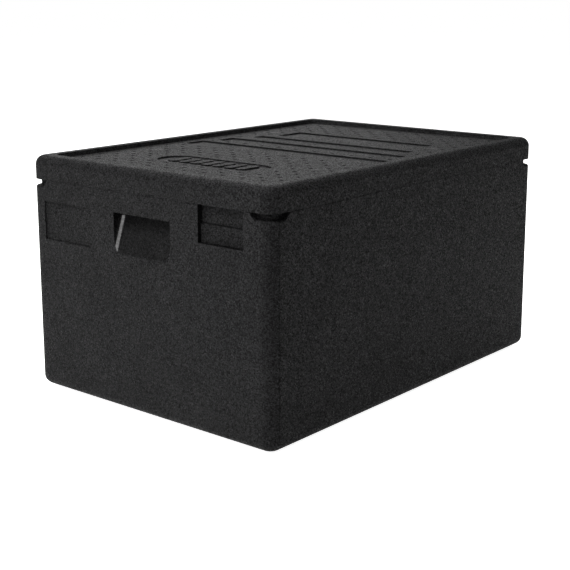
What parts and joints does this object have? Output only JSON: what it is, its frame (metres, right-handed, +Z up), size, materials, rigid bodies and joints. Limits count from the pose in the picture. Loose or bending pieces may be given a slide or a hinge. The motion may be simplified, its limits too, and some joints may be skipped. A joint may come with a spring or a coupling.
{
  "type": "insulated food carrier",
  "caption": "Insulated bead-foam food carrier: deep rectangular tub with grips in both ends and a lift-off lid that seals on a tongue and groove.",
  "frame": {"origin": "on the ground at the centre of the carrier's footprint", "axes": "+X along the length, +Y along the width, +Z up; the ends at -X and +X carry the grips"},
  "size_m": [0.685, 0.485, 0.37],
  "materials": {
    "tub_foam": "moulded bead foam, near black",
    "lid_foam": "moulded bead foam, near black"
  },
  "bodies": {
    "tub": {"tub": "tub_foam"},
    "lid": {"lid": "lid_foam"}
  },
  "joints": [
    {"name": "lid_lift", "type": "slide", "parent": "tub", "child": "lid", "axis": [0, 0, 1], "range_m": [0, 0.3]}
  ]
}
